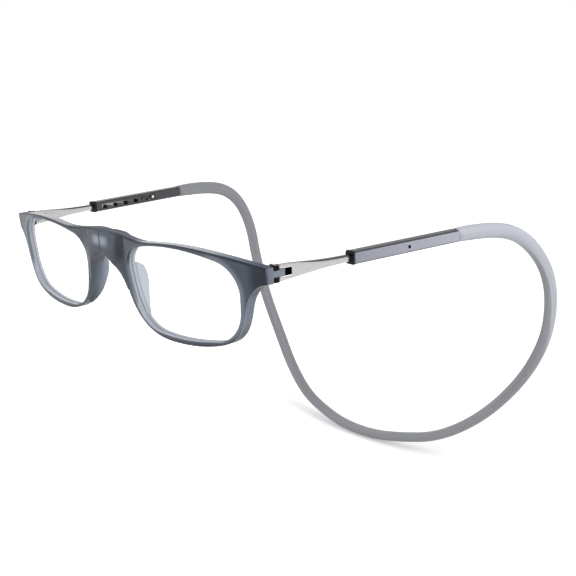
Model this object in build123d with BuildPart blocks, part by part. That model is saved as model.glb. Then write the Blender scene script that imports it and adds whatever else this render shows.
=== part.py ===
"""Reading glasses that part at a magnetic bridge, with telescopic temples and a neck band.

Millimetres. The wearer looks along -Y, +Z is up and +X is the wearer's left. The origin is in the
middle of the bridge's underside, where the glasses sit on the nose. The temples splay rearwards.
Each piece but the neck band is modelled for the left side, and the right one is its mirror image.
"""

import os
from math import cos, pi, radians, sin, sqrt, tan

from build123d import *

os.makedirs("parts", exist_ok=True)

# Lens openings: corners clockwise from the nose's bottom corner, seen from the wearer
lens_width = 49.0
lens_height = 29.0
lens_spacing = 72.5
lens_drop = 8.2
lens_corner_shares = ((-0.77, -0.91), (0.96, -0.74), (1.04, 0.70), (-1.00, 0.73))
lens_corner_radii = (12.8, 12.0, 9.6, 8.1)
lens_side_bows = (2.4, 0.3, 4.0, 1.8)

# Front halves
rim_width = 1.7
rim_depth = 3.3
wrap_radius = 169.0
wrap_centre = 20.0
wrap_set_back = 0.4
face_tilt = 5.2
brow_shares = ((-0.62, 0.892), (-0.31, 0.926), (0.07, 0.957), (0.62, 0.907))
cheek_shares = (
    (1.16, 0.34),
    (1.06, 0.136),
    (0.97, -0.30),
    (0.815, -0.69),
    (0.525, -0.889),
    (-0.05, -0.994),
    (-0.54, -0.895),
    (-0.82, -0.593),
    (-1.0, -0.05),
    (-1.08, 0.24),
)
seam_gap = 0.3
bridge_height = 7.2
bridge_depth = 5.5
bridge_back_step = 0.1
bridge_half_width = 8.0
bridge_blend = 4.0
bridge_level_shares = (1.1, -0.35, -1.5)
bridge_bulge_shares = (1.0, 1.0, 0.1)
bridge_shoulder_share = 0.84
bridge_slope_share = 0.3
bridge_arch_shares = (0.6, -0.2)

# Nose wings
wing_thickness = 1.5
wing_reach = 7.05
wing_profile_shares = (
    (0.40, -0.34),
    (0.90, -0.62),
    (1.00, -1.00),
    (0.90, -1.75),
    (0.72, -2.35),
    (0.40, -2.90),
)

# Lenses
lens_thickness = 1.2
lens_seat = 0.5
lens_play = 0.05
lens_set_back = 1.0

# Magnets
magnet_diameter = 4.0
magnet_length = 2.2
magnet_play = 0.03
magnet_recess = 0.1
magnet_chamfer = 0.15

# Hinges
hinge_overhang = 6.55
hinge_set_back = 11.1
hinge_drop = 6.6
end_piece_overhang = 2.0
end_piece_height = 4.8
end_piece_round = 2.6
tongue_height = 2.0
tongue_width = 2.5
tongue_length = 3.8
fork_play = 0.08
knuckle_diameter = 3.3
knuckle_play = 0.25
screw_diameter = 1.4
screw_head_diameter = 2.5
screw_head_height = 0.5
screw_slot_width = 0.4
screw_slot_depth = 0.25
pivot_play = 0.05
thread_play = 0.02

# Metal arms
temple_splay = 5.0
arm_reach = 28.4
arm_thickness = 1.3
arm_root_height = 5.0
arm_neck_height = 3.1
arm_neck_reach = 14.5
fork_depth = 5.9
window_play = 0.3
window_floor = 0.4
tail_height = 2.2

# Telescopic sleeves, with places measured from the sleeve's mouth
sleeve_length = 44.7
sleeve_height = 4.0
sleeve_width = 4.0
sleeve_round = 0.8
bore_height = 3.0
bore_width = 2.2
collar_length = 0.5
collar_lip = 0.12
collar_plug_length = 1.2
collar_play = 0.04
slot_start = 3.1
slot_length = 25.4
slot_height = 0.8
slot_rise = 0.4
notch_pitch = 5.3
notch_count = 5
notch_length = 4.5
notch_depth = 1.3
notch_start = 5.6
sight_hole_diameter = 1.2
sight_hole_place = 22.7

# Sliders, stop pins and band anchors
slider_length = 4.0
slider_play = 0.05
tail_play = 0.02
tooth_length = 1.2
tooth_height = 0.6
tooth_reach = 0.7
stop_place = 29.6
stop_pin_diameter = 1.3
stop_pin_play = 0.02
stop_pin_bite = 0.5
stop_pin_rim = 0.5
stop_gap = 0.3
anchor_length = 5.0
anchor_play = 0.1
anchor_chamfer = 0.3
spigot_length = 8.0
spigot_height = 2.0
spigot_thickness = 1.6
barb_height = 0.25
barb_length = 1.6
barb_count = 3
spigot_play = 0.05

# Neck band: a flat oval that runs straight behind each sleeve, then round these points
band_height = 5.2
band_thickness = 3.9
band_sides = 10
band_end_gap = 0.1
band_first_run = 17.5
band_points = [
    (79.0, 118.0, -4.0),
    (82.0, 129.5, -19.0),
    (81.0, 132.0, -39.0),
    (74.0, 131.5, -56.0),
    (63.5, 129.5, -70.5),
    (52.0, 125.5, -82.0),
    (37.5, 121.0, -91.0),
    (22.0, 117.5, -94.5),
    (8.0, 115.5, -96.5),
]
bend_share = 0.45

# One overrun for every cut
overrun = 30.0

# Places that follow from the sizes above
lens_x = lens_spacing / 2
lens_z = -lens_drop
half_lens = (lens_width / 2, lens_height / 2)
half_rim = (lens_width / 2 + rim_width, lens_height / 2 + rim_width)
seam_x = seam_gap / 2
bridge_front = -bridge_depth / 2
hinge_x = lens_x + half_rim[0] + hinge_overhang
hinge_rise = lens_z + half_rim[1] - hinge_drop
end_piece_x = hinge_x + end_piece_overhang
end_piece_back = hinge_set_back - knuckle_diameter / 2 - knuckle_play
fork_gap = tongue_height + 2 * fork_play
splay = radians(temple_splay)
tilt = radians(face_tilt)
hinge_point = Vector(hinge_x, hinge_set_back, hinge_rise)
rearwards = Vector(sin(splay), cos(splay), 0)
rearwards_right = Vector(-sin(splay), cos(splay), 0)
inwards = Vector(-cos(splay), sin(splay), 0)
side_plane = Plane(origin=hinge_point, x_dir=rearwards, z_dir=inwards * -1)
mouth_side_plane = Plane(origin=hinge_point + rearwards * arm_reach, x_dir=rearwards, z_dir=inwards * -1)
top_plane = Plane(origin=hinge_point, x_dir=rearwards, z_dir=(0, 0, 1))
tail_end = stop_place - stop_pin_diameter / 2 - stop_gap
tooth_place = notch_start + (notch_count - 1) * notch_pitch - tooth_length / 2
anchor_start = sleeve_length - anchor_length


def section_plane(reach):
    """The plane across the temple, so far behind the hinge pin: X inwards and Y up."""
    return Plane(origin=hinge_point + rearwards * reach, x_dir=inwards, z_dir=rearwards)


def face_y(x, z):
    """How far back the rim's face lies, on a cylinder that leans back towards the cheeks."""
    wrap = wrap_radius - sqrt(wrap_radius**2 - (x - wrap_centre) ** 2)
    return wrap - wrap_set_back - (z - lens_z) * tan(tilt)


def rim_point(x_share, z_share):
    """A point as shares of the way from the lens's centre to the rim's outside."""
    return (lens_x + x_share * half_rim[0], lens_z + z_share * half_rim[1])


def lens_outline(growth):
    """The lens opening on the XZ plane, grown all round: four bowed sides and four round corners."""
    corners = [
        Vector(lens_x + x_share * half_lens[0], lens_z + z_share * half_lens[1])
        for x_share, z_share in lens_corner_shares
    ]
    with BuildSketch(Plane.XZ) as opening:
        with BuildLine():
            for index, bow in enumerate(lens_side_bows):
                start = corners[index]
                end = corners[(index + 1) % len(corners)]
                outwards = (end - start).rotate(Axis.Z, -90).normalized()
                ThreePointArc(start, (start + end) / 2 + outwards * bow, end)
        make_face()
        for corner, radius in zip(corners, lens_corner_radii):
            fillet(opening.vertices().sort_by_distance(corner)[0], radius)
    with BuildSketch(Plane.XZ) as outline:
        with BuildLine():
            for arc in opening.edges():
                points = (arc @ 0, arc @ 0.5, arc @ 1)
                ThreePointArc(*[point + (point - arc.arc_center).normalized() * growth for point in points])
        make_face()
    return outline.sketch


def wrapped_layer(set_back, thickness):
    """A sheet that follows the front's curve, so far behind its face."""
    origin = (wrap_centre, -wrap_set_back, lens_z)
    tilted = Plane(origin=origin, x_dir=(1, 0, 0), z_dir=(0, -sin(tilt), cos(tilt)))
    with BuildPart() as layer:
        with BuildSketch(tilted):
            with Locations((0, wrap_radius)):
                Circle(wrap_radius - set_back)
                Circle(wrap_radius - set_back - thickness, mode=Mode.SUBTRACT)
            Rectangle(wrap_radius, wrap_radius, mode=Mode.INTERSECT)
        extrude(amount=overrun, both=True)
    return layer.part


def bridge_section(level_share, bulge_share):
    """The bridge half in plan: a round front, then a hollow that blends into the rim's face."""
    level = level_share * bridge_height
    blend_x = bridge_half_width + bridge_blend
    seam_y = bridge_front * bulge_share + face_y(0, level) * (1 - bulge_share)
    shoulder_front = bridge_shoulder_share * bridge_front
    shoulder_y = shoulder_front * bulge_share + face_y(bridge_half_width, level) * (1 - bulge_share)
    with BuildSketch(Plane.XY.offset(level)) as section:
        with BuildLine():
            crown = Spline(
                (seam_x, seam_y),
                (bridge_half_width, shoulder_y),
                (blend_x, face_y(blend_x, level)),
                tangents=((1, 0), (1, bridge_slope_share)),
            )
            seam_back = face_y(0, level) + rim_depth + bridge_back_step
            back_corner = (blend_x, face_y(blend_x, level) + rim_depth)
            Polyline(crown @ 1, back_corner, (bridge_half_width, seam_back), (seam_x, seam_back), crown @ 0)
        make_face()
    return section.sketch


# Front halves: rim, bridge, nose wing and hinge tongue in one moulding
with BuildSketch(Plane.XZ) as front_outline:
    with BuildLine():
        brow = Spline(
            (seam_x, bridge_height),
            (bridge_half_width, bridge_height),
            *[rim_point(*shares) for shares in brow_shares],
            (end_piece_x, hinge_rise + end_piece_height / 2),
        )
        tip = Line(brow @ 1, (end_piece_x, hinge_rise - end_piece_height / 2))
        cheek = Spline(
            tip @ 1,
            *[rim_point(*shares) for shares in cheek_shares],
            (bridge_arch_shares[0] * bridge_half_width, bridge_arch_shares[1] * bridge_height),
            (seam_x, 0),
        )
        Line(cheek @ 1, brow @ 0)
    make_face()

rim_layer = wrapped_layer(0, rim_depth)
groove_layer = wrapped_layer(lens_set_back, lens_thickness + 2 * lens_play)
bridge_sections = [
    bridge_section(level_share, bulge_share)
    for level_share, bulge_share in zip(bridge_level_shares, bridge_bulge_shares)
]
lens_opening = lens_outline(0)
lens_groove = lens_outline(lens_seat)
wing_outside = lens_outline(rim_width)
wing_inside = lens_outline(rim_width - wing_thickness)

lens_edge = lens_outline(lens_seat - lens_play)
lens_layer = wrapped_layer(lens_set_back + lens_play, lens_thickness)

with BuildPart() as groove:
    extrude(lens_groove, amount=overrun, both=True)
    add(groove_layer, mode=Mode.INTERSECT)

with BuildPart() as bridge_block:
    loft(sections=bridge_sections, ruled=True)
    extrude(front_outline.sketch, amount=overrun, both=True, mode=Mode.INTERSECT)

with BuildPart() as wing:
    extrude(wing_outside, amount=-overrun)
    extrude(wing_inside, amount=-overrun, mode=Mode.SUBTRACT)
    with BuildSketch(Plane.YZ) as wing_side:
        with BuildLine():
            back = Spline([
                (y_share * wing_reach, z_share * bridge_height)
                for y_share, z_share in wing_profile_shares
            ])
            Line(back @ 1, back @ 0)
        make_face()
    extrude(amount=lens_x, mode=Mode.INTERSECT)

with BuildPart() as front:
    extrude(front_outline.sketch, amount=overrun, both=True)
    add(rim_layer, mode=Mode.INTERSECT)
    tip_edges = front.edges().group_by(Axis.X)[-1]
    fillet(tip_edges.sort_by(Axis.Y)[0], end_piece_round)
    with BuildSketch(Plane.XZ.offset(-end_piece_back)):
        with Locations((end_piece_x, hinge_rise)):
            Rectangle(2 * overrun, 2 * overrun)
    extrude(amount=-overrun, mode=Mode.SUBTRACT)
    add(bridge_block.part)
    extrude(lens_opening, amount=overrun, both=True, mode=Mode.SUBTRACT)
    add(wing.part)
    with BuildSketch(Plane.XY.offset(hinge_rise)):
        with Locations((hinge_x, hinge_set_back)):
            Circle(tongue_width / 2)
            with Locations((0, tongue_length - tongue_width / 2)):
                Circle(tongue_width / 2)
            tongue_root = hinge_set_back - end_piece_back + rim_width
            Rectangle(tongue_width, tongue_length - tongue_width / 2, align=(Align.CENTER, Align.MIN))
            Rectangle(tongue_width, tongue_root, align=(Align.CENTER, Align.MAX))
    extrude(amount=tongue_height / 2, both=True)
    with BuildSketch(Plane.XY.offset(hinge_rise)):
        with Locations((hinge_x, hinge_set_back)):
            Circle(screw_diameter / 2 + pivot_play)
    extrude(amount=tongue_height, both=True, mode=Mode.SUBTRACT)
    add(groove.part, mode=Mode.SUBTRACT)
    with BuildSketch(Plane.YZ.offset(seam_x)):
        with Locations((0, bridge_height / 2)):
            Circle(magnet_diameter / 2 + magnet_play)
    extrude(amount=magnet_recess + magnet_length + magnet_play, mode=Mode.SUBTRACT)

# Lenses, seated in the rims' grooves
with BuildPart() as lens:
    extrude(lens_edge, amount=overrun, both=True)
    add(lens_layer, mode=Mode.INTERSECT)

# Bridge magnets: discs let into the two halves' meeting faces
with BuildPart() as magnet:
    with BuildSketch(Plane.YZ.offset(seam_x + magnet_recess)):
        with Locations((0, bridge_height / 2)):
            Circle(magnet_diameter / 2)
    extrude(amount=magnet_length)
    chamfer(magnet.faces().sort_by(Axis.X)[0].edges(), magnet_chamfer)

# Metal arms: a forked knuckle that thins to the flat tail inside the sleeve
with BuildPart() as arm:
    with BuildSketch(side_plane):
        with BuildLine():
            top_edge = Spline(
                (0, arm_root_height / 2),
                (arm_neck_reach, arm_neck_height / 2),
                (arm_reach, tail_height / 2),
                tangents=((1, 0), (1, 0)),
            )
            bottom_edge = Spline(
                (arm_reach, -tail_height / 2),
                (arm_neck_reach, -arm_neck_height / 2),
                (0, -arm_root_height / 2),
                tangents=((-1, 0), (-1, 0)),
            )
            Line(top_edge @ 1, bottom_edge @ 0)
            Line(bottom_edge @ 1, top_edge @ 0)
        make_face()
        with Locations((arm_reach + tail_end / 2, 0)):
            Rectangle(tail_end, tail_height)
    extrude(amount=arm_thickness / 2, both=True)
    with BuildSketch(top_plane):
        Circle(knuckle_diameter / 2)
    extrude(amount=arm_root_height / 2, both=True)
    with BuildSketch(side_plane):
        with Locations((tongue_length + window_play - overrun / 2, 0)):
            Rectangle(overrun, fork_gap)
    extrude(amount=knuckle_diameter, both=True, mode=Mode.SUBTRACT)
    with BuildSketch(side_plane.offset(window_floor - arm_thickness / 2)):
        with Locations((fork_depth - overrun / 2, 0)):
            Rectangle(overrun, fork_gap)
    extrude(amount=knuckle_diameter, mode=Mode.SUBTRACT)
    with BuildSketch(top_plane):
        Circle(screw_diameter / 2 + thread_play)
    extrude(amount=arm_root_height, both=True, mode=Mode.SUBTRACT)

# Hinge screws, from the top of the fork down to its lower ear
with BuildPart() as hinge_screw:
    with BuildSketch(top_plane.offset(-arm_root_height / 2)):
        Circle(screw_diameter / 2)
    extrude(amount=arm_root_height)
    with BuildSketch(top_plane.offset(arm_root_height / 2)):
        Circle(screw_head_diameter / 2)
    extrude(amount=screw_head_height)
    chamfer(hinge_screw.faces().sort_by(Axis.Z)[-1].edges(), screw_slot_depth / 2)
    with BuildSketch(top_plane.offset(arm_root_height / 2 + screw_head_height)):
        Rectangle(screw_head_diameter, screw_slot_width)
    extrude(amount=-screw_slot_depth, mode=Mode.SUBTRACT)

# Sliders: a shoe on the tail's end, with a tooth that clicks along the sleeve's rack
with BuildPart() as slider:
    with BuildSketch(section_plane(arm_reach + tail_end - slider_length)):
        Rectangle(bore_width - 2 * slider_play, bore_height - 2 * slider_play)
    extrude(amount=slider_length)
    with BuildSketch(mouth_side_plane):
        with Locations((tooth_place, slot_rise)):
            Rectangle(tooth_length, tooth_height)
    extrude(amount=-(bore_width / 2 + tooth_reach))
    tooth_face = slider.faces().sort_by(Axis(hinge_point, inwards))[-1]
    chamfer(tooth_face.edges().filter_by(Axis.Z), tooth_reach / 2)
    with BuildSketch(section_plane(arm_reach + tail_end - slider_length)):
        Rectangle(arm_thickness + 2 * tail_play, tail_height + 2 * tail_play)
    extrude(amount=slider_length, mode=Mode.SUBTRACT)

# Telescopic sleeves: a square tube with a rack slot inside and a sight hole outside
with BuildPart() as sleeve:
    with BuildSketch(section_plane(arm_reach + collar_length)):
        RectangleRounded(sleeve_width, sleeve_height, sleeve_round)
    extrude(amount=sleeve_length - collar_length)
    with BuildSketch(section_plane(arm_reach)):
        Rectangle(bore_width, bore_height)
    extrude(amount=sleeve_length, mode=Mode.SUBTRACT)
    with BuildSketch(mouth_side_plane):
        for notch in range(notch_count):
            notch_end = notch_start + notch * notch_pitch
            Polygon((notch_end - notch_length, 0), (notch_end, -notch_depth), (notch_end, 0), align=None)
        with Locations((slot_start + slot_length / 2, slot_rise)):
            Rectangle(slot_length, slot_height)
        with Locations((slot_start + overrun / 2, 0)):
            Rectangle(overrun, bore_height, mode=Mode.INTERSECT)
    extrude(amount=-sleeve_width, mode=Mode.SUBTRACT)
    with BuildSketch(mouth_side_plane):
        with Locations((sight_hole_place, 0)):
            Circle(sight_hole_diameter / 2)
    extrude(amount=sleeve_width, mode=Mode.SUBTRACT)
    with BuildSketch(mouth_side_plane.offset(stop_pin_bite + bore_width / 2)):
        with Locations((stop_place, 0)):
            Circle(stop_pin_diameter / 2 + stop_pin_play)
    extrude(amount=-sleeve_width, mode=Mode.SUBTRACT)
    with BuildSketch(mouth_side_plane.offset(-sleeve_width / 2)):
        with Locations((stop_place, 0)):
            Circle(stop_pin_diameter / 2 + stop_pin_rim)
    extrude(amount=-sleeve_width, mode=Mode.SUBTRACT)

# Sleeve collars: a dark ring round the mouth, with a plug that guides the tail
with BuildPart() as sleeve_collar:
    with BuildSketch(section_plane(arm_reach)):
        RectangleRounded(
            sleeve_width + 2 * collar_lip,
            sleeve_height + 2 * collar_lip,
            sleeve_round + collar_lip,
        )
    extrude(amount=collar_length)
    with BuildSketch(section_plane(arm_reach + collar_length)):
        Rectangle(bore_width - 2 * collar_play, bore_height - 2 * collar_play)
    extrude(amount=collar_plug_length)
    with BuildSketch(section_plane(arm_reach)):
        Rectangle(arm_thickness + 2 * slider_play, tail_height + 2 * slider_play)
    extrude(amount=collar_length + collar_plug_length, mode=Mode.SUBTRACT)

# Stop pins: across each sleeve's bore, behind the tail
with BuildPart() as stop_pin:
    with BuildSketch(mouth_side_plane.offset(-sleeve_width / 2)):
        with Locations((stop_place, 0)):
            Circle(stop_pin_diameter / 2)
    extrude(amount=sleeve_width / 2 + bore_width / 2 + stop_pin_bite - stop_pin_play)

# Band anchors: a tongue in the sleeve's rear bore and a flat barbed spigot in the band
with BuildPart() as band_anchor:
    with BuildSketch(section_plane(arm_reach + anchor_start)):
        Rectangle(bore_width - 2 * anchor_play, bore_height - 2 * anchor_play)
    extrude(amount=anchor_length)
    chamfer(band_anchor.edges().filter_by(Axis(hinge_point, rearwards)), anchor_chamfer)
    with BuildSketch(mouth_side_plane):
        with Locations((sleeve_length + spigot_length / 2, 0)):
            Rectangle(spigot_length, spigot_height)
        for barb in range(barb_count):
            barb_start = sleeve_length + (barb + 1) * spigot_length / (barb_count + 1)
            barb_end = barb_start + barb_length
            barb_root = spigot_height / 2
            barb_tip = barb_root + barb_height
            Polygon(
                (barb_start, -barb_tip),
                (barb_end, -barb_root),
                (barb_end, barb_root),
                (barb_start, barb_tip),
                align=None,
            )
    extrude(amount=spigot_thickness / 2, both=True)

# Neck band: its bends are as wide as the runs beside them allow
band_start = hinge_point + rearwards * (arm_reach + sleeve_length + band_end_gap)
band_half = [band_start, band_start + rearwards * band_first_run]
band_half += [Vector(*point) for point in band_points]
band_route = band_half + [Vector(-point.X, point.Y, point.Z) for point in reversed(band_half)]
bend_radii = []
band_length = (band_route[1] - band_route[0]).length
for before, here, after in zip(band_route, band_route[1:], band_route[2:]):
    turn = radians((here - before).get_angle(after - here))
    shorter_run = min((here - before).length, (after - here).length)
    bend_radii.append(bend_share * shorter_run / tan(turn / 2))
    band_length += (after - here).length - bend_radii[-1] * (2 * tan(turn / 2) - turn)
print("band bend radii", [round(radius, 1) for radius in bend_radii])

with BuildPart() as neck_band:
    with BuildLine():
        band_path = FilletPolyline(*band_route, radius=bend_radii)
    with BuildSketch(Plane(origin=band_start, x_dir=inwards, z_dir=rearwards)) as band_section:
        turns = [2 * pi * (side + 0.5) / band_sides for side in range(band_sides)]
        half_band = (band_thickness / 2, band_height / 2)
        Polygon(*[(half_band[0] * cos(turn), half_band[1] * sin(turn)) for turn in turns])
    sweep()
    print("band volume", neck_band.part.volume)
    print("section times length", band_section.sketch.area * band_length)
    for end, end_direction in ((band_start, rearwards), (band_route[-1], rearwards_right)):
        end_plane = Plane(origin=end, x_dir=end_direction.cross(Vector(0, 0, 1)), z_dir=end_direction)
        with BuildSketch(end_plane):
            Rectangle(spigot_thickness + 2 * spigot_play, spigot_height + 2 * (barb_height + spigot_play))
        extrude(amount=spigot_length + spigot_play, mode=Mode.SUBTRACT)

neck_band.part.label = "neck_band"
export_step(neck_band.part, "parts/neck_band.step")

left_pieces = {
    "front": front,
    "lens": lens,
    "bridge_magnet": magnet,
    "arm": arm,
    "hinge_screw": hinge_screw,
    "slider": slider,
    "sleeve": sleeve,
    "sleeve_collar": sleeve_collar,
    "stop_pin": stop_pin,
    "band_anchor": band_anchor,
}
for name, piece in left_pieces.items():
    piece.part.label = f"{name}_left"
    export_step(piece.part, f"parts/{name}_left.step")
    with BuildPart() as twin:
        mirror(piece.part, about=Plane.YZ)
    twin.part.label = f"{name}_right"
    export_step(twin.part, f"parts/{name}_right.step")
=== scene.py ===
from math import cos, pi, radians, sin

import bmesh
import bpy
from mathutils import Matrix, Quaternion, Vector
from mathutils.bvhtree import BVHTree


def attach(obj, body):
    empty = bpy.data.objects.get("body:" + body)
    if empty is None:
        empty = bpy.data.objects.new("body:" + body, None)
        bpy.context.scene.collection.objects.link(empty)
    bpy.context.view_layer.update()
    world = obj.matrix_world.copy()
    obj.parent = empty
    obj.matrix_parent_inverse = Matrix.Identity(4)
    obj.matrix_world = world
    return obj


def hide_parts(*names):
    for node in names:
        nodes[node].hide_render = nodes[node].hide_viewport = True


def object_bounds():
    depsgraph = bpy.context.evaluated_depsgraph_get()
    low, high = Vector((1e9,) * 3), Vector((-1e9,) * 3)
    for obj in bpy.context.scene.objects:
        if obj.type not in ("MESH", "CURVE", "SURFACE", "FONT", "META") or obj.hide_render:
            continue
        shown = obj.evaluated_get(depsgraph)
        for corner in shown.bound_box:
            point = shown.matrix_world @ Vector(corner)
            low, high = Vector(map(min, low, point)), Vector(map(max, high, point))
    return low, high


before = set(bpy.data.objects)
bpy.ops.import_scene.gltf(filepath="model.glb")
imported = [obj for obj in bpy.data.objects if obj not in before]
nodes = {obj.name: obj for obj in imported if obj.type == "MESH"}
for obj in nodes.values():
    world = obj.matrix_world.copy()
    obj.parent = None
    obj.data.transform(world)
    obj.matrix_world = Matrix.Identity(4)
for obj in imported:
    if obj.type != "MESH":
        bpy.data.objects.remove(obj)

box_low, box_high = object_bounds()
SIDES = ("left", "right")
MM = 0.001
bpy.ops.object.select_all(action="DESELECT")


# Studio: a pale floor under the lowest bend of the neck band, a white surround
# and large soft lamps. The camera stands in front and to the wearer's left, a
# little above the glasses.
class Wire:
    """A socket of a material or world, with arithmetic written as in Python."""

    def __init__(self, tree, socket):
        self.tree = tree
        self.socket = socket

    def maths(self, operation, first, second=None):
        inputs = {0: first} if second is None else {0: first, 1: second}
        return node(self.tree, "ShaderNodeMath", {"operation": operation}, inputs)

    def __add__(self, other):
        return self.maths("ADD", self, other)

    def __sub__(self, other):
        return self.maths("SUBTRACT", self, other)

    def __rsub__(self, other):
        return self.maths("SUBTRACT", other, self)

    def __mul__(self, other):
        return self.maths("MULTIPLY", self, other)

    def __abs__(self):
        return self.maths("ABSOLUTE", self)

    __radd__ = __add__
    __rmul__ = __mul__


def node(tree, kind, settings=None, inputs=None, output=0):
    """Adds a node, sets it, fills its sockets, and returns one of its outputs."""
    added = tree.nodes.new(kind)
    for name, value in (settings or {}).items():
        if name == "stops":
            stops = added.color_ramp.elements
            for place, colour in value[1:-1]:
                stops.new(place)
            for stop, (place, colour) in zip(stops, value):
                stop.position = place
                stop.color = colour
        else:
            setattr(added, name, value)
    for name, value in (inputs or {}).items():
        if isinstance(value, Wire):
            tree.links.new(value.socket, added.inputs[name])
        else:
            added.inputs[name].default_value = value
    return Wire(tree, added.outputs[output]) if added.outputs else None


def shade(*levels):
    """A colour from its display levels, 0 to 255, made linear. One level gives a grey."""
    if len(levels) == 1:
        levels = levels * 3
    steps = [level / 255 for level in levels]
    return tuple(s / 12.92 if s <= 0.04045 else ((s + 0.055) / 1.055) ** 2.4 for s in steps) + (1.0,)


def rise(value, low, high, start=0.0, end=1.0):
    """A smooth change from start to end as the value goes from low to high."""
    return node(value.tree, "ShaderNodeMapRange", {"interpolation_type": "SMOOTHSTEP"}, {
        "Value": value, "From Min": low, "From Max": high, "To Min": start, "To Max": end,
    })


def part(vector, axis):
    """One of the three numbers of a vector."""
    return node(vector.tree, "ShaderNodeSeparateXYZ", {}, {0: vector}, axis)


def rays(tree):
    """Whether a ray comes straight or through glass from the camera, and whether it is mirrored."""
    kinds = ("Is Camera Ray", "Is Transmission Ray", "Is Glossy Ray")
    straight, through_glass, mirrored = [node(tree, "ShaderNodeLightPath", output=kind) for kind in kinds]
    return straight + through_glass, mirrored


def blank(name):
    """A new material with an empty node tree."""
    material = bpy.data.materials.new(name)
    material.use_nodes = True
    material.node_tree.nodes.clear()
    return material, material.node_tree


def surface(tree, shader):
    """Makes a shader the surface of a material."""
    node(tree, "ShaderNodeOutputMaterial", {}, {"Surface": shader})


def dress(piece, material):
    """Gives a new piece its only material."""
    piece.data.materials.clear()
    piece.data.materials.append(material)


scene = bpy.context.scene
scene.view_settings.view_transform = "Standard"

camera_azimuth = radians(48.032)
camera_height = radians(14.466)
camera_roll = radians(-1.99)
camera_distance = 393.196 * MM
camera_target = Vector((0.0, 78.3, -27.8)) * MM
camera_lens = 64.61
nearest_seen = 10.0 * MM
away = Vector((
    sin(camera_azimuth) * cos(camera_height),
    -cos(camera_azimuth) * cos(camera_height),
    sin(camera_height),
))
level = Vector((cos(camera_azimuth), sin(camera_azimuth), 0.0))
upright = away.cross(level)
across = level * cos(camera_roll) + upright * sin(camera_roll)
upwards = upright * cos(camera_roll) - level * sin(camera_roll)
eye = camera_target + away * camera_distance
bpy.ops.object.camera_add()
camera = bpy.context.active_object
camera.name = "photograph_camera"
camera.matrix_world = Matrix((
    (across.x, upwards.x, away.x, eye.x),
    (across.y, upwards.y, away.y, eye.y),
    (across.z, upwards.z, away.z, eye.z),
    (0.0, 0.0, 0.0, 1.0),
))
camera.data.lens = camera_lens
camera.data.clip_start = nearest_seen
scene.camera = camera

# The floor glows white to the camera, less round the place under the band's
# lowest bend, so that the band's own shadow shows there.
floor_size = 6.0
floor_white = shade(238)
shadow_place = (0.025, 0.115, 0.0)
shadow_reach = 0.04
shadow_end = 0.15
shadow_glow = 0.36
floor_glow = 0.66
floor_mirrored_glow = 0.35
bpy.ops.mesh.primitive_plane_add(size=floor_size, location=(0.0, 0.0, box_low.z))
floor = bpy.context.active_object
floor.name = "studio_floor"
floor_paint, tree = blank("studio_floor_white")
seen, mirrored = rays(tree)
place = node(tree, "ShaderNodeTexCoord", output="Object")
from_shadow = node(tree, "ShaderNodeVectorMath", {"operation": "DISTANCE"}, {
    0: place, 1: shadow_place,
}, "Value")
glow = rise(from_shadow, shadow_reach, shadow_end, shadow_glow, floor_glow)
matte = node(tree, "ShaderNodeBsdfDiffuse", {}, {"Color": floor_white})
glowing = node(tree, "ShaderNodeEmission", {}, {
    "Color": shade(255), "Strength": seen * glow + mirrored * floor_mirrored_glow,
})
surface(tree, node(tree, "ShaderNodeAddShader", {}, {0: matte, 1: glowing}))
dress(floor, floor_paint)

# The surround is white to the camera and in level reflections. It is darker
# overhead in reflections, and lights the object less than it shows.
surround_light = 0.46
ceiling_glance = 0.12
ceiling_from = 0.25
ceiling_full = 0.6
world = bpy.data.worlds.new("studio_surround")
scene.world = world
world.use_nodes = True
tree = world.node_tree
tree.nodes.clear()
seen, mirrored = rays(tree)
height = part(node(tree, "ShaderNodeTexCoord", output="Generated"), "Z")
glance = rise(height, ceiling_from, ceiling_full, 1.0, ceiling_glance)
lit = surround_light + seen * (1.0 - surround_light) + mirrored * (glance - surround_light)
surround = node(tree, "ShaderNodeBackground", {}, {"Color": shade(255), "Strength": lit})
node(tree, "ShaderNodeOutputWorld", {}, {"Surface": surround})

# Each lamp's name, its place and width in metres, and its watts.
lamp_plans = (
    ("key_lamp", (0.30, 0.10, 0.17), 0.24, 0.58),
    ("front_lamp", (-0.50, -0.62, 0.20), 0.5, 1.6),
    ("top_lamp", (0.05, 0.15, 0.75), 0.6, 0.8),
    ("far_lamp", (-0.60, 0.35, 0.25), 0.5, 0.6),
)
for lamp_name, lamp_place, lamp_width, lamp_watts in lamp_plans:
    bpy.ops.object.light_add(type="AREA", location=lamp_place)
    lamp = bpy.context.active_object
    lamp.name = lamp_name
    lamp.visible_camera = False
    lamp.data.shape = "DISK"
    lamp.data.size = lamp_width
    lamp.data.energy = lamp_watts
    lamp.rotation_euler = (camera_target - Vector(lamp_place)).to_track_quat("-Z", "Y").to_euler()


# Neck band: one soft strip of flat oval section, moulded in pale grey
# elastomer. It leaves each sleeve straight, turns down behind the ears and
# runs round under the nape, and it is pushed over a barbed spigot at each end.
band_height = 5.2 * MM
band_thickness = 3.9 * MM
band_swell = 10.0 * MM
band_end_share = 0.89
band_sides = 20
band_steps = 12
band_half = [Vector(place) * MM for place in (
    (75.38, 84.021, 1.4),
    (76.905, 101.454, 1.4),
    (79.0, 118.0, -4.0),
    (82.0, 129.5, -19.0),
    (81.0, 132.0, -39.0),
    (74.0, 131.5, -56.0),
    (63.5, 129.5, -70.5),
    (52.0, 125.5, -82.0),
    (37.5, 121.0, -91.0),
    (22.0, 117.5, -94.5),
    (8.0, 115.5, -96.5),
)]
band_dull, band_bright = shade(141, 142, 147), shade(155, 156, 162)
# Painted light for the strip's ends and outward edge.
band_painted_light, band_painted_brightest = shade(177, 180, 188), shade(190, 193, 202)
painted_light_from = 0.36
painted_light_full = 0.425
painted_light_edge_reach = 0.13
streak_counts = (26.0, 9.0, 1.0)

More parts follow.
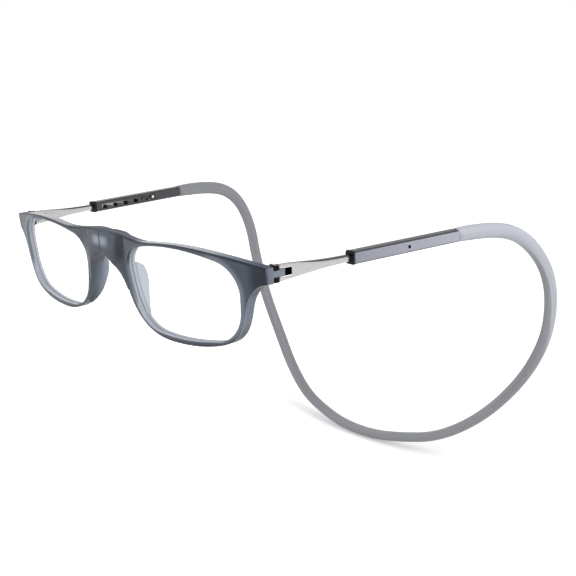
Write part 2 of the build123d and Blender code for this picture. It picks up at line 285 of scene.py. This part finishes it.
mirrored_half = [Vector((-place.x, place.y, place.z)) for place in reversed(band_half)]
band_route = band_half + mirrored_half
line_data = bpy.data.curves.new("neck_band_line", "CURVE")
line_data.dimensions = "3D"
line_data.resolution_u = band_steps
spline = line_data.splines.new("NURBS")
spline.points.add(len(band_route) - 1)
for control, place in zip(spline.points, band_route):
    control.co = (*place, 1.0)
spline.order_u = 3
spline.use_endpoint_u = True
line = bpy.data.objects.new("neck_band_line", line_data)
scene.collection.objects.link(line)
line_mesh = bpy.data.meshes.new_from_object(line)
band_path = [vertex.co.copy() for vertex in line_mesh.vertices]
bpy.data.objects.remove(line)

# The section's broad side is carried along one half without twist. It also
# leans evenly, so that it meets its mirror image at the nape.
band_runs = [0.0]
for here, after in zip(band_path, band_path[1:]):
    band_runs.append(band_runs[-1] + (after - here).length)
middle = (len(band_path) + 1) // 2
broad = Vector((0.0, 0.0, 1.0))
band_frames = []
for index in range(middle):
    before = band_path[max(index - 1, 0)]
    heading = (band_path[index + 1] - before).normalized()
    broad = (broad - heading * broad.dot(heading)).normalized()
    band_frames.append((band_path[index], heading, broad))
level_broad = Vector((0.0, broad.y, broad.z)).normalized()
lean = broad.angle(level_broad)
if broad.cross(level_broad).dot(heading) < 0:
    lean = -lean
band_frames = [
    (point, heading, Quaternion(heading, lean * run / band_runs[middle - 1]) @ broad)
    for (point, heading, broad), run in zip(band_frames, band_runs)
]
flip = Matrix.Diagonal((-1.0, 1.0, 1.0))
other_frames = [(flip @ point, -(flip @ heading), flip @ broad) for point, heading, broad in band_frames]
other_frames.reverse()
band_frames += other_frames[len(band_path) % 2:]

bm = bmesh.new()
band_rings = []
for (point, heading, broad), run in zip(band_frames, band_runs):
    end_run = min(run, band_runs[-1] - run)
    grown = 1.0 - (1.0 - band_end_share) * max(0.0, 1.0 - end_run / band_swell) ** 2
    flat = heading.cross(broad)
    ring = []
    for step in range(band_sides):
        turn = 2 * pi * step / band_sides
        along_broad = broad * (cos(turn) * band_height / 2 * grown)
        along_flat = flat * (sin(turn) * band_thickness / 2 * grown)
        ring.append(bm.verts.new(point + along_broad + along_flat))
    band_rings.append(ring)
round_and_along = bm.loops.layers.uv.new("round_and_along")
for index, (near, far) in enumerate(zip(band_rings, band_rings[1:])):
    for step in range(band_sides):
        following = (step + 1) % band_sides
        face = bm.faces.new((near[step], near[following], far[following], far[step]))
        face.smooth = True
        corners = ((step, index), (step + 1, index), (step + 1, index + 1), (step, index + 1))
        for loop, (turns, place) in zip(face.loops, corners):
            loop[round_and_along].uv = (turns / band_sides, band_runs[place] / band_runs[-1])
bm.faces.new(list(reversed(band_rings[0])))
bm.faces.new(band_rings[-1])
bmesh.ops.recalc_face_normals(bm, faces=bm.faces)
band_mesh = bpy.data.meshes.new("neck_band_strip")
bm.to_mesh(band_mesh)
bm.free()
band = bpy.data.objects.new("neck_band_strip", band_mesh)
scene.collection.objects.link(band)


def blend(factor, first, second):
    """Mixes two colours by a factor."""
    return node(factor.tree, "ShaderNodeMix", {"data_type": "RGBA"}, {0: factor, 6: first, 7: second}, 2)


def noise(place, scale, detail):
    """A cloudy pattern from 0 to 1. Its scale is clouds to a metre, or to the width of a UV map."""
    return node(place.tree, "ShaderNodeTexNoise", {}, {"Vector": place, "Scale": scale, "Detail": detail})


def ramp(factor, *stops):
    """A colour that follows a factor through stops, each a place from 0 to 1 and a colour."""
    return node(factor.tree, "ShaderNodeValToRGB", {"stops": stops}, {"Fac": factor})


def facing(tree):
    """How far the surface faces outwards from the middle, back and up, each from -1 to 1."""
    x = part(node(tree, "ShaderNodeTexCoord", output="Object"), "X")
    normal = node(tree, "ShaderNodeTexCoord", output="Normal")
    return part(normal, "X") * x.maths("SIGN", x), part(normal, "Y"), part(normal, "Z")


def principled(tree, sockets):
    """Ends a material in one principled shader."""
    surface(tree, node(tree, "ShaderNodeBsdfPrincipled", {}, sockets))


# Painted light: the strip is paler towards its ends, and its outward edge stays pale further, as light
# falling on it would show.
elastomer, tree = blank("pale_grey_elastomer")
where = node(tree, "ShaderNodeTexCoord", output="Object")
out_face, _, _ = facing(tree)
along = node(tree, "ShaderNodeUVMap", {"uv_map": "round_and_along"})
streak = noise(node(tree, "ShaderNodeMapping", {}, {"Vector": along, "Scale": streak_counts}), 1.0, 3.0)
from_middle = abs(part(along, "Y") - 0.5)
further = from_middle + rise(out_face, 0.65, 1.0) * painted_light_edge_reach
# Where the painted light lies.
pale = rise(further, painted_light_from, painted_light_full) * rise(out_face, -0.6, 0.3)
middle_tint = ramp(streak, (0.32, band_dull), (0.68, band_bright))
painted_light_tint = ramp(streak, (0.32, band_painted_light), (0.68, band_painted_brightest))
grain = noise(where, 2600.0, 2.0)
dimple = node(tree, "ShaderNodeBump", {}, {"Height": grain, "Strength": 0.12, "Distance": 0.1 * MM})
principled(tree, {
    "Base Color": blend(pale, middle_tint, painted_light_tint),
    "Roughness": grain * 0.12 + 0.44, "Normal": dimple, "IOR": 1.43,
})
dress(band, elastomer)
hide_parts("neck_band")
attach(band, "band")


# Front halves: each one injection moulding in satin smoke-blue plastic, with
# half the bridge, the rim, the thin nose wing and the hinge tongue. Its edges
# are softened. Painted light in its colour makes it paler deeper back and where
# it thins towards the lens, as light through the plastic would, and painted
# light and shade mark its faces, hollows and edges.
merge_reach = 0.002 * MM
moulding_grain = 0.2 * MM
moulding_passes = 4
seam_half_gap = 0.15 * MM
seam_hair = 0.03 * MM
seam_reach = 0.9 * MM
slice_length = 0.3
wrap_radius = 169.0
wrap_centre = 20.0
wrap_set_back = 0.4
lens_middle_up = -8.2
face_lean = 0.091
moulding_depth = 8.0
front_half_width = 70.0

# The smoke colour at the front face, then painted light that grows deeper back.
smoke_and_painted_light_at_depths = (
    (0.0, shade(74, 84, 97)), (0.14, shade(79, 89, 102)),
    (0.42, shade(106, 115, 129)), (0.95, shade(166, 173, 186)),
)
# Painted light and shade along the tops: paler midway, darker by the bridge and at the end piece.
painted_light_along_top = (
    (0.0, shade(96, 101, 111)), (0.19, shade(100, 105, 115)), (0.4, shade(140, 144, 153)),
    (0.6, shade(140, 145, 155)), (0.82, shade(126, 134, 147)), (0.97, shade(74, 81, 94)),
)
painted_light_on_end = shade(112, 119, 133)
painted_light_by_nose = shade(198, 204, 214)
painted_shade_below = shade(58, 62, 69)
painted_shade_in_valley = shade(22, 28, 40)
painted_highlight_on_bridge = shade(172, 180, 194)
painted_shade_at_seam = shade(44, 48, 56)
painted_shade_at_bridge_foot = shade(64, 67, 72)
painted_shade_at_end_corner = shade(20, 28, 44)
painted_light_on_rim = shade(146, 154, 169)
painted_light_on_lip = shade(150, 157, 170)
painted_shade_on_top_line = shade(20, 28, 42)
painted_shade_on_bottom_line = shade(42, 46, 54)
smoke_on_tongue = shade(132, 139, 152)
smoke_in_dim_wall = shade(116, 123, 135)
smoke_in_lit_wall = shade(190, 195, 206)
painted_shadow_in_wall_corner = shade(16, 18, 23)
painted_shade_on_wing_edge = shade(76, 82, 92)


def softened(node_name, copy_name, grain, passes, turn=0.0):
    """A copy of a CAD node as one closed skin with its edges softened."""
    made = bpy.data.objects.new(copy_name, nodes[node_name].data.copy())
    scene.collection.objects.link(made)
    bpy.ops.object.select_all(action="DESELECT")
    made.select_set(True)
    bpy.context.view_layer.objects.active = made
    bpy.ops.mesh.customdata_custom_splitnormals_clear()
    bpy.ops.object.mode_set(mode="EDIT")
    bpy.ops.mesh.select_all(action="SELECT")
    bpy.ops.mesh.remove_doubles(threshold=merge_reach)
    bpy.ops.object.mode_set(mode="OBJECT")
    made.data.transform(Matrix.Rotation(turn, 4, "Z"))
    made.data.remesh_voxel_size = grain
    bpy.ops.object.voxel_remesh()
    smoothing = made.modifiers.new("smoothing", "SMOOTH")
    smoothing.factor = 0.5
    smoothing.iterations = passes
    bpy.ops.object.modifier_apply(modifier=smoothing.name)
    made.data.transform(Matrix.Rotation(-turn, 4, "Z"))
    bpy.ops.object.shade_smooth()
    return made


def keep_gap(piece, node_name):
    """Keeps how far out from the lens's edge each point of the piece is, seen from the front."""
    other = nodes[node_name].data
    skin = BVHTree.FromPolygons([v.co for v in other.vertices], [p.vertices for p in other.polygons])
    gaps = piece.data.attributes.new("lens_gap", "FLOAT", "POINT")
    for vertex, entry in zip(piece.data.vertices, gaps.data):
        step = vertex.co - skin.find_nearest(vertex.co)[0]
        entry.value = Vector((step.x, step.z)).length / MM


def keep_heights(piece, run_of):
    """Keeps how far each point is under the piece's top edge and over its bottom edge there."""
    slices = {}
    for vertex in piece.data.vertices:
        place = round(run_of(abs(vertex.co.x) / MM, vertex.co.y / MM) / slice_length)
        slices.setdefault(place, []).append((vertex.index, vertex.co.z / MM))
    under = piece.data.attributes.new("under_top", "FLOAT", "POINT")
    over = piece.data.attributes.new("over_bottom", "FLOAT", "POINT")
    for points in slices.values():
        heights = [height for index, height in points]
        for index, height in points:
            under.data[index].value = max(heights) - height
            over.data[index].value = height - min(heights)


def close_seam(moulding):
    """Brings the meeting face up to the other half's, with only a hair's gap between them."""
    for vertex in moulding.data.vertices:
        from_middle = abs(vertex.co.x)
        if from_middle < seam_reach:
            share = (seam_reach - from_middle) / (seam_reach - seam_half_gap)
            vertex.co.x *= 1.0 - share * (1.0 - seam_hair / seam_half_gap)


def kept(tree, name):
    """A number kept at the points of a piece."""
    return node(tree, "ShaderNodeAttribute", {"attribute_name": name}, output="Fac")


def place_on(tree):
    """Object coordinates, then the same place in millimetres out from the middle, back and up."""
    where = node(tree, "ShaderNodeTexCoord", output="Object")
    x, y, z = [part(where, axis) * (1 / MM) for axis in "XYZ"]
    return where, abs(x), y, z


def layered(tint, *layers):
    """A colour with others laid over it in turn, each by a mask and the most that it covers."""
    for mask, most, colour in layers:
        tint = blend(mask * most, tint, colour)
    return tint


# The masks are written in millimetres from the bridge's middle, except that
# depth is how far back from the moulding's curved and leaning face a place is.
smoke, tree = blank("smoke_blue_plastic")
where, out, back, up = place_on(tree)
out_face, back_face, up_face = facing(tree)
gap = kept(tree, "lens_gap")
under_top = kept(tree, "under_top")
over_bottom = kept(tree, "over_bottom")
wrap = (out - wrap_centre) * (out - wrap_centre) * (1 / (2 * wrap_radius))
depth = back + wrap_set_back - wrap + (up - lens_middle_up) * face_lean
cloud = (noise(where, 160.0, 3.0) - 0.5) * 0.08
# bulk: the smoke colour with painted light deeper back, as light through the plastic.
bulk = ramp(depth * (1 / moulding_depth) + cloud, *smoke_and_painted_light_at_depths)
top_painted_light = ramp(out * (1 / front_half_width), *painted_light_along_top)

# Regions that several masks share.
at_face = rise(depth, 1.2, 0.6)
nasal = rise(out, 24.0, 20.0)
in_front = rise(back_face, -0.6, -0.8)

# The moulding's large faces: painted light on the tops, the outer end and the
# nose wing's outer face, and painted shade underneath.
top = rise(up_face, 0.55, 0.9) * rise(depth, 0.0, 1.0)
end = rise(out_face, 0.5, 0.85) * rise(out, 54.0, 58.0)
nose_side = rise(out_face, 0.1, 0.5) * rise(depth, 3.2, 4.2) * nasal
below = rise(up_face, -0.35, -0.75) * rise(depth, 4.2, 3.4)

# The bridge, with a painted highlight, and painted shade in the valley beside
# it, which leans outwards on its way down, along the seam and at the bridge's foot.
leaning = out + (7.0 - up) * 0.18
valley = rise(leaning, 7.7, 9.6) * rise(leaning, 13.4, 11.6) * rise(up, -3.0, 1.0) * in_front
bridge = rise(out, 5.6, 2.2) * rise(up, 1.4, 4.0) * rise(up, 6.6, 4.6) * in_front
seam = rise(out, 0.5, 0.25) * in_front
bridge_foot = rise(out, 9.0, 7.5) * rise(up, 3.4, 0.8) * rise(depth, 0.8, 0.2)

# Painted shade on the end piece's corner and along the top and bottom edges,
# painted light on the rim's bevel and lip, and the hinge tongue.
end_corner = rise(out, 63.6, 67.4) * rise(out, 70.9, 70.2) * rise(back_face, -0.2, -0.6)
rim = rise(gap, 1.9, 0.1) * at_face * rise(out, 47.0, 54.0)
lip = rise(gap, 0.25, 0.02) * at_face
top_line = rise(under_top, 0.62, 0.42) * rise(depth, 1.0, 0.6) * rise(out, 2.0, 14.0) * rise(out, 71.0, 70.0)
bottom_line = rise(over_bottom, 1.3, 0.5) * rise(out, 16.0, 24.0) * rise(out, 62.0, 56.0)
tongue = rise(out, 67.6, 68.0) * rise(back, 8.8, 9.2)

# The wall round the lens, with painted light where it is deeper or faces up and
# a painted shadow in its upper nasal corner, and painted shade on the wing's rear edge.
in_groove = rise(depth, 0.6, 0.9) * rise(depth, 3.3, 3.0)
wall = rise(gap, 0.35, 0.15) * (rise(abs(back_face), 0.6, 0.4) + in_groove) * rise(depth, 3.8, 3.2)
wall_light = rise(depth, 1.0, 1.7) + rise(up_face, 0.2, 0.6)
wall_corner = rise(up, -3.5, 0.0) * rise(out, 24.0, 19.0) * (1.0 - wall_light)
wall_tint = layered(
    smoke_in_dim_wall, (wall_light, 1.0, smoke_in_lit_wall), (wall_corner, 0.9, painted_shadow_in_wall_corner),
)
wing_edge = rise(back_face, 0.2, 0.6) * rise(depth, 5.0, 6.0) * nasal
tint = layered(
    bulk,
    (top, 1.0, top_painted_light),
    (end, 1.0, painted_light_on_end),
    (nose_side, 1.0, painted_light_by_nose),
    (below, 1.0, painted_shade_below),
    (valley, 0.95, painted_shade_in_valley),
    (bridge, 0.85, painted_highlight_on_bridge),
    (seam, 0.8, painted_shade_at_seam),
    (bridge_foot, 0.6, painted_shade_at_bridge_foot),
    (end_corner, 0.95, painted_shade_at_end_corner),
    (rim, 0.7, painted_light_on_rim),
    (lip, 0.3, painted_light_on_lip),
    (top_line, 0.9, painted_shade_on_top_line),
    (bottom_line, 0.75, painted_shade_on_bottom_line),
    (tongue, 0.7, smoke_on_tongue),
    (wall, 1.0, wall_tint),
    (wing_edge, 0.8, painted_shade_on_wing_edge),
)

# Skimming light would make the bridge's and the end piece's tops too bright, so
# they are rougher.
top_matte = rise(up_face, 0.4, 0.8) * (rise(out, 24.0, 15.0) + rise(out, 52.0, 62.0))
grain = noise(where, 2800.0, 2.0)
satin = node(tree, "ShaderNodeBump", {}, {"Height": grain, "Strength": 0.06, "Distance": 0.1 * MM})
principled(tree, {
    "Base Color": tint, "Roughness": grain * 0.1 + 0.3 + top_matte * 0.45, "IOR": 1.46, "Normal": satin,
})
for side in SIDES:
    moulding = softened(f"front_{side}", f"front_moulding_{side}", moulding_grain, moulding_passes)
    close_seam(moulding)
    keep_gap(moulding, f"lens_{side}")
    keep_heights(moulding, lambda out, back: out)
    dress(moulding, smoke)
    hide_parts(f"front_{side}")
    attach(moulding, f"front_{side}")


# Lenses: clear reading lenses, moulded in acrylic and snapped into the rims'
# grooves. Only a faint glance shows on their faces, stronger edge-on.
face_glance = 0.02
edge_glance = 0.25


def dress_node(name, material):
    """Gives a CAD node another material."""
    for slot in nodes[name].material_slots:
        slot.material = material


clear, tree = blank("clear_lens_acrylic")
edge_on = node(tree, "ShaderNodeLayerWeight", {}, {"Blend": 0.3}, "Facing")
outside = 1.0 - node(tree, "ShaderNodeNewGeometry", output="Backfacing")
smear = noise(node(tree, "ShaderNodeTexCoord", output="Object"), 120.0, 2.0)
glance = (face_glance + edge_on * edge_on * edge_on * edge_glance) * outside * (0.8 + smear * 0.4)
through = node(tree, "ShaderNodeBsdfTransparent", {}, {"Color": shade(255)})
gloss = node(tree, "ShaderNodeBsdfGlossy", {}, {"Color": shade(255), "Roughness": 0.03})
surface(tree, node(tree, "ShaderNodeMixShader", {}, {0: glance, 1: through, 2: gloss}))
for side in SIDES:
    dress_node(f"lens_{side}", clear)


# Bridge magnets: nickel-plated discs pressed into the two halves' meeting
# faces, a little below flush.
dull_nickel, bright_nickel = shade(186, 182, 172), shade(208, 206, 198)
nickel, tree = blank("magnet_nickel_plate")
scuff = noise(node(tree, "ShaderNodeTexCoord", output="Object"), 900.0, 4.0)
principled(tree, {
    "Base Color": ramp(scuff, (0.3, dull_nickel), (0.7, bright_nickel)),
    "Roughness": scuff * 0.2 + 0.12, "Metallic": 1.0,
})
for side in SIDES:
    dress_node(f"bridge_magnet_{side}", nickel)


# Arms: stamped stainless strips with a forked knuckle, tapered to a flat tail
# and polished along their length. Painted shade makes the fork's mouth and ears
# near black, darkens the tail inside the sleeve and the lower edge, and a
# painted dark reflection runs along the upper edge.
arm_grain = 0.12 * MM
arm_passes = 16
temple_splay = radians(5.0)
hinge_out = 69.0
hinge_back = 11.1
hinge_up = 1.4
mouth_end = 5.9
mouth_half_height = 1.08
ears_end = 0.85
sleeve_mouth = 29.5
brushing_scale = (4000.0, 120.0, 6000.0)
dull_steel, bright_steel = shade(206, 204, 204), shade(220, 218, 218)
painted_dark_reflection_on_upper_edge = shade(62, 57, 60)
painted_shade_on_lower_edge = shade(88, 84, 84)
painted_shade_in_sleeve = shade(92, 90, 90)
painted_shade_in_mouth = shade(6)
painted_shade_on_ears = shade(6, 6, 8)


def temple_run(out, back):
    """How far a place is behind the hinge, in millimetres along the arm."""
    return (out - hinge_out) * sin(temple_splay) + (back - hinge_back) * cos(temple_splay)


steel, tree = blank("polished_arm_steel")
where, out, back, up = place_on(tree)
run = temple_run(out, back)
brushing = noise(node(tree, "ShaderNodeMapping", {}, {"Vector": where, "Scale": brushing_scale}), 1.0, 3.0)
# Painted dark reflection along the upper edge, painted shade along the lower edge.
upper_edge = rise(kept(tree, "under_top") - rise(run, 7.0, 19.0, 0.12, 0.62), 0.14, -0.1)
lower_edge = rise(kept(tree, "over_bottom"), 0.32, 0.08)
# Painted shade on the tail inside the sleeve, deepening rearwards.
in_sleeve = rise(run, sleeve_mouth, sleeve_mouth + 1.0) * rise(run, 33.0, 48.0, 0.35, 0.95)
# Near black painted shade in the fork's mouth and on its ears.
in_mouth = rise(abs(up - hinge_up), mouth_half_height + 0.1, mouth_half_height)
mouth = rise(run, mouth_end + 0.15, mouth_end) * in_mouth
ears = rise(run, ears_end + 0.4, ears_end) * (1.0 - mouth)
tint = layered(
    ramp(brushing, (0.3, dull_steel), (0.7, bright_steel)),
    (upper_edge, 0.85, painted_dark_reflection_on_upper_edge),
    (lower_edge, 0.6, painted_shade_on_lower_edge),
    (in_sleeve, 1.0, painted_shade_in_sleeve),
    (mouth, 1.0, painted_shade_in_mouth),
    (ears, 0.98, painted_shade_on_ears),
)
principled(tree, {"Base Color": tint, "Roughness": brushing * 0.12 + 0.12, "Metallic": 1.0})
for side, turn in zip(SIDES, (temple_splay, -temple_splay)):
    strip = softened(f"arm_{side}", f"arm_strip_{side}", arm_grain, arm_passes, turn)
    keep_heights(strip, temple_run)
    dress(strip, steel)
    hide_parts(f"arm_{side}")
    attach(strip, f"arm_{side}")


# Hinge screws: turned steel, polished, with a slotted head. Each passes down
# through the fork's upper ear and the tongue into the lower ear.
slot_floor = 4.2
dull_screw, bright_screw = shade(222), shade(246)
painted_shade_in_slot = shade(24)
painted_shade_on_head_side = shade(46)
screw_steel, tree = blank("polished_screw_steel")
where, _, _, up = place_on(tree)
_, _, up_face = facing(tree)
scuff = noise(where, 1500.0, 4.0)
# Painted shade in the head's slot and on the head's sides.
in_slot = rise(up, slot_floor, slot_floor - 0.05) * rise(up_face, 0.8, 0.9)
tint = layered(
    ramp(scuff, (0.3, dull_screw), (0.7, bright_screw)),
    (in_slot, 1.0, painted_shade_in_slot),
    (rise(up_face, 0.5, 0.2), 0.8, painted_shade_on_head_side),
)
principled(tree, {"Base Color": tint, "Roughness": scuff * 0.2 + 0.1, "Metallic": 1.0})
for side in SIDES:
    dress_node(f"hinge_screw_{side}", screw_steel)


# Sliders and band anchors: small mouldings in grey nylon. A slider is clipped
# to each arm's tail, and an anchor is pressed into each sleeve's rear end.
dark_nylon, pale_nylon = shade(84), shade(104, 104, 102)
nylon, tree = blank("grey_nylon")
fleck = noise(node(tree, "ShaderNodeTexCoord", output="Object"), 1200.0, 3.0)
principled(tree, {
    "Base Color": ramp(fleck, (0.3, dark_nylon), (0.7, pale_nylon)),
    "Roughness": fleck * 0.2 + 0.35,
})
for side in SIDES:
    dress_node(f"slider_{side}", nylon)
    dress_node(f"band_anchor_{side}", nylon)


# Telescopic sleeves: square tubes moulded in dark plastic, with the rack's
# slot in the inner face. The outer face carries a painted lavender-grey sheen,
# paler towards the rear, and the stop pin's seat in the inner face has painted shade.
pin_run = 58.0
painted_sheen_from = 40.0
painted_sheen_per_mm = 0.0227
dark_core, pale_core = shade(66, 67, 70), shade(76, 77, 81)
painted_sheen_at_front, painted_sheen_at_rear = shade(148, 149, 163), shade(172, 173, 186)
painted_shade_in_pin_seat = shade(4)
sleeve_paint, tree = blank("dark_sleeve_plastic_painted_sheen")
where, out, back, up = place_on(tree)
out_face, _, _ = facing(tree)
fleck = noise(where, 700.0, 3.0)
core = ramp(fleck, (0.3, dark_core), (0.7, pale_core))
# Painted sheen on the outer face, paler towards the rear.
painted_sheen_place = (back - painted_sheen_from) * painted_sheen_per_mm + (fleck - 0.5) * 0.1
painted_sheen = ramp(painted_sheen_place, (0.0, painted_sheen_at_front), (1.0, painted_sheen_at_rear))
from_pin = temple_run(out, back) - pin_run
over_pin = up - hinge_up
# Painted shade in the stop pin's seat.
pin_seat = rise(from_pin * from_pin + over_pin * over_pin, 1.9, 1.2) * rise(out_face, -0.8, -0.95)
tint = layered(
    core, (rise(out_face, 0.8, 0.97), 1.0, painted_sheen), (pin_seat, 0.9, painted_shade_in_pin_seat),
)
principled(tree, {"Base Color": tint, "Roughness": fleck * 0.1 + 0.34, "IOR": 1.42})
for side in SIDES:
    dress_node(f"sleeve_{side}", sleeve_paint)


# Sleeve collars: thin rings in black plastic, plugged into the sleeves'
# mouths, where they guide the arms' tails. Their outward faces carry a fainter
# painted sheen, like the sleeves' outer faces.
dark_collar, pale_collar = shade(10), shade(18)
faint_painted_sheen = shade(112, 113, 124)
collar_top_grey = shade(64, 65, 69)
black, tree = blank("black_collar_plastic")
where, _, _, up = place_on(tree)
out_face, _, up_face = facing(tree)
fleck = noise(where, 900.0, 3.0)
collar_top = rise(up_face, 0.8, 0.97) * rise(up, 2.9, 3.1)
# A fainter painted sheen on the outward faces.
tint = layered(
    ramp(fleck, (0.3, dark_collar), (0.7, pale_collar)),
    (rise(out_face, 0.8, 0.97), 1.0, faint_painted_sheen),
    (collar_top, 1.0, collar_top_grey),
)
principled(tree, {"Base Color": tint, "Roughness": fleck * 0.2 + 0.45, "IOR": 1.3})
for side in SIDES:
    dress_node(f"sleeve_collar_{side}", black)


# Stop pins: short polished steel pins, pressed across the sleeves' bores
# behind the arms' tails.
dull_pin, bright_pin = shade(222), shade(238)
pin_steel, tree = blank("bright_pin_steel")
scuff = noise(node(tree, "ShaderNodeTexCoord", output="Object"), 1500.0, 4.0)
principled(tree, {
    "Base Color": ramp(scuff, (0.3, dull_pin), (0.7, bright_pin)),
    "Roughness": scuff * 0.2 + 0.25, "Metallic": 1.0,
})
for side in SIDES:
    dress_node(f"stop_pin_{side}", pin_steel)
